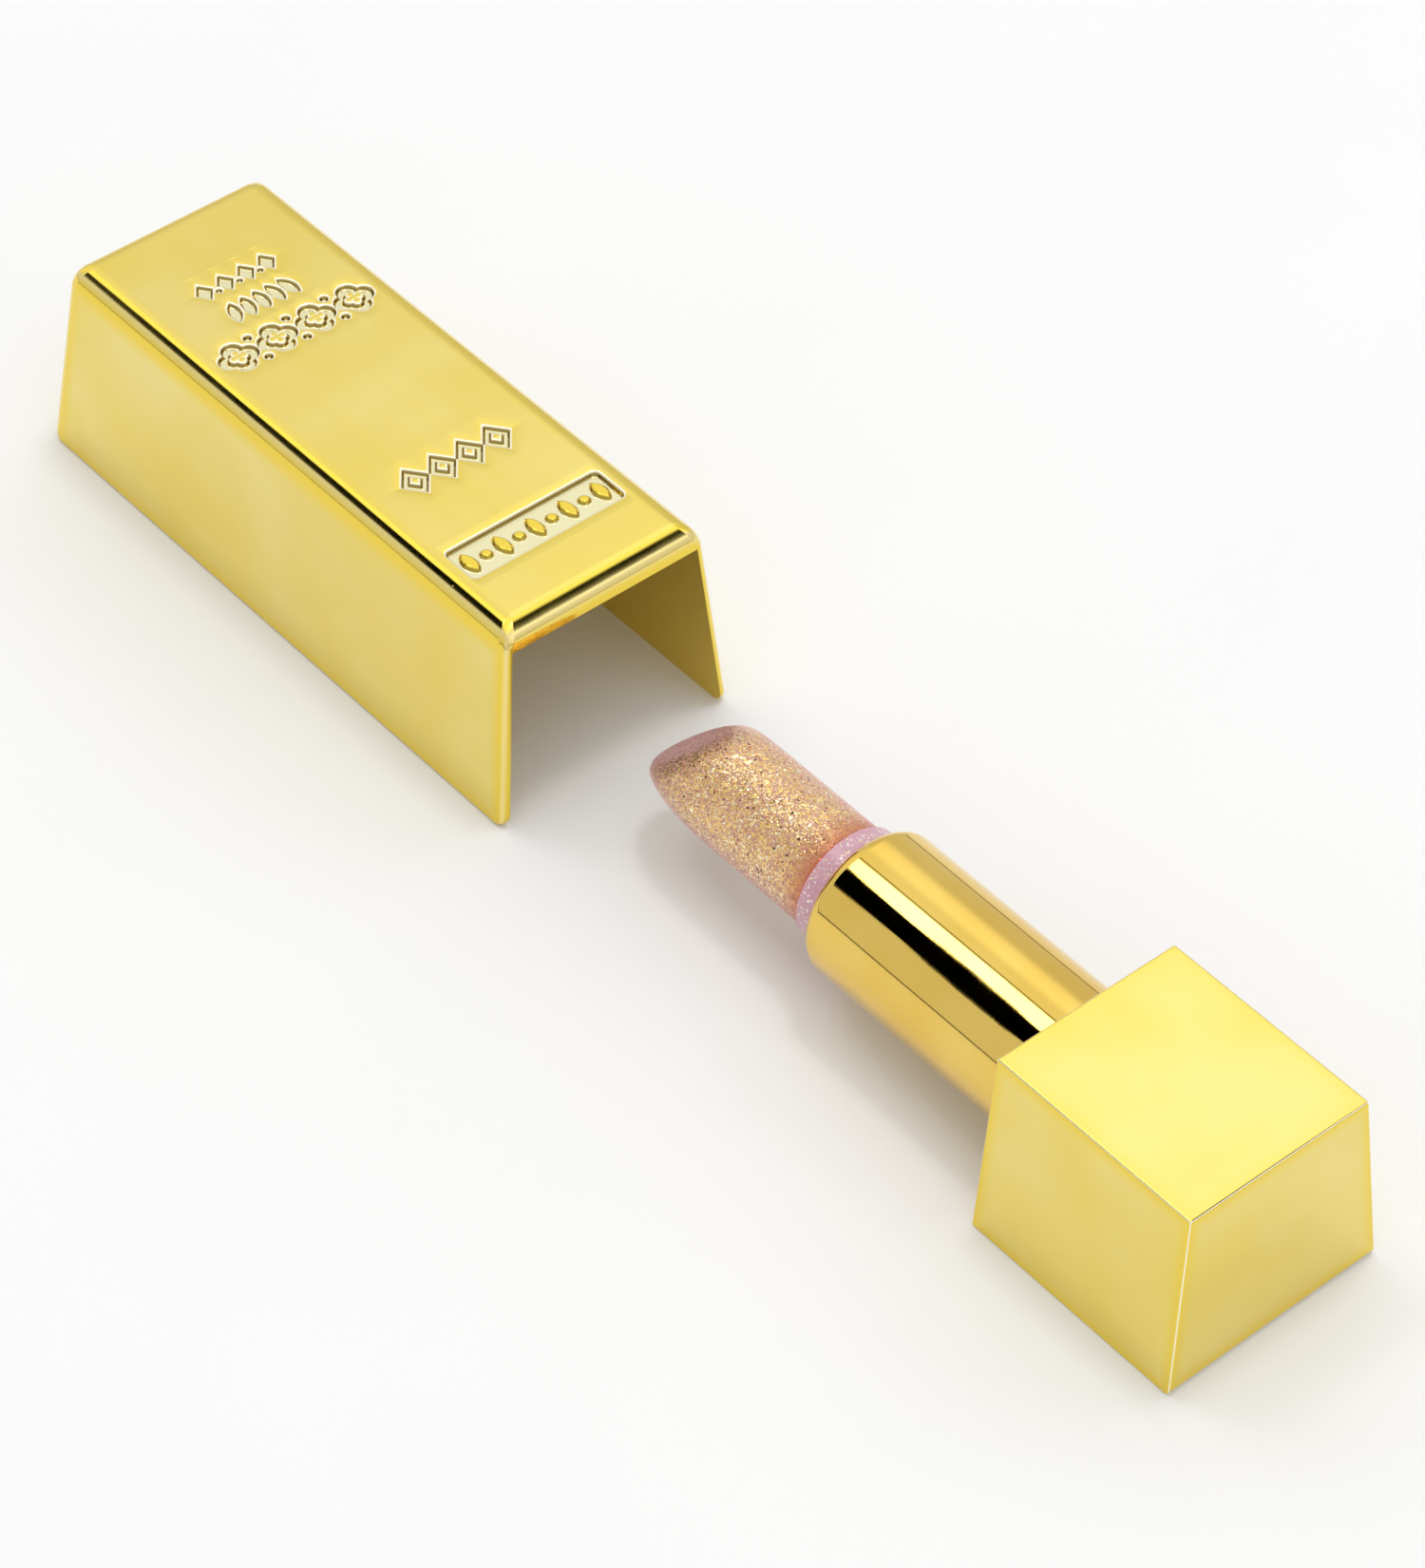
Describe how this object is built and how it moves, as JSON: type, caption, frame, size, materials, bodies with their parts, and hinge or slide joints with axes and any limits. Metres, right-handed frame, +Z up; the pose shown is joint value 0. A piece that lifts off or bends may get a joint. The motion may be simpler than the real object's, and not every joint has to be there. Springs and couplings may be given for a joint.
{
  "type": "lipstick case",
  "caption": "Lipstick in a gold-bar case: a slide-off ingot cap, a block base with a twisting collar, and a glitter bullet that rises from it.",
  "frame": {"origin": "centre of the whole object's footprint on the surface it lies on, with the cap drawn off and the bullet raised", "axes": "+X along the collar's axis from the base's end face to the cap's closed end, +Y across, +Z up"},
  "size_m": [0.176, 0.03, 0.0248],
  "materials": {
    "mirror_gold": "moulded plastic, metallised mirror gold",
    "collar_gold": "drawn aluminium, anodised mirror gold",
    "white_plastic": "natural moulded plastic",
    "soft_ring": "matt elastomer",
    "steel_weight": "plain pressed steel",
    "lilac_cup": "lilac translucent plastic",
    "glitter_wax": "clear pink wax full of gold glitter"
  },
  "bodies": {
    "base": {"base_shell": "mirror_gold", "base_face_plate": "mirror_gold", "base_core": "white_plastic", "base_weight": "steel_weight", "guide_fork": "white_plastic", "friction_ring": "soft_ring"},
    "collar": {"collar_shell": "collar_gold", "spiral_sleeve": "white_plastic"},
    "carrier": {"lipstick_cup": "lilac_cup", "lipstick_bullet": "glitter_wax"},
    "cap": {"cap_shell": "mirror_gold", "cap_floor": "mirror_gold", "cap_liner": "white_plastic", "cap_grip_ring": "soft_ring"}
  },
  "joints": [
    {"name": "collar_turn", "type": "hinge", "parent": "base", "child": "collar", "pos_m": [-0.061, 0, 0.01095], "axis": [1, 0, 0], "range_deg": [-540, 0]},
    {"name": "bullet_lift", "type": "slide", "parent": "base", "child": "carrier", "axis": [1, 0, 0], "range_m": [-0.0315, 0]},
    {"name": "cap_pull", "type": "slide", "parent": "carrier", "child": "cap", "axis": [1, 0, 0], "range_m": [-0.0645, 0]}
  ],
  "couplings": [
    {"joint": "bullet_lift", "follows": "collar_turn", "m_per_rad": 0.0033423}
  ]
}
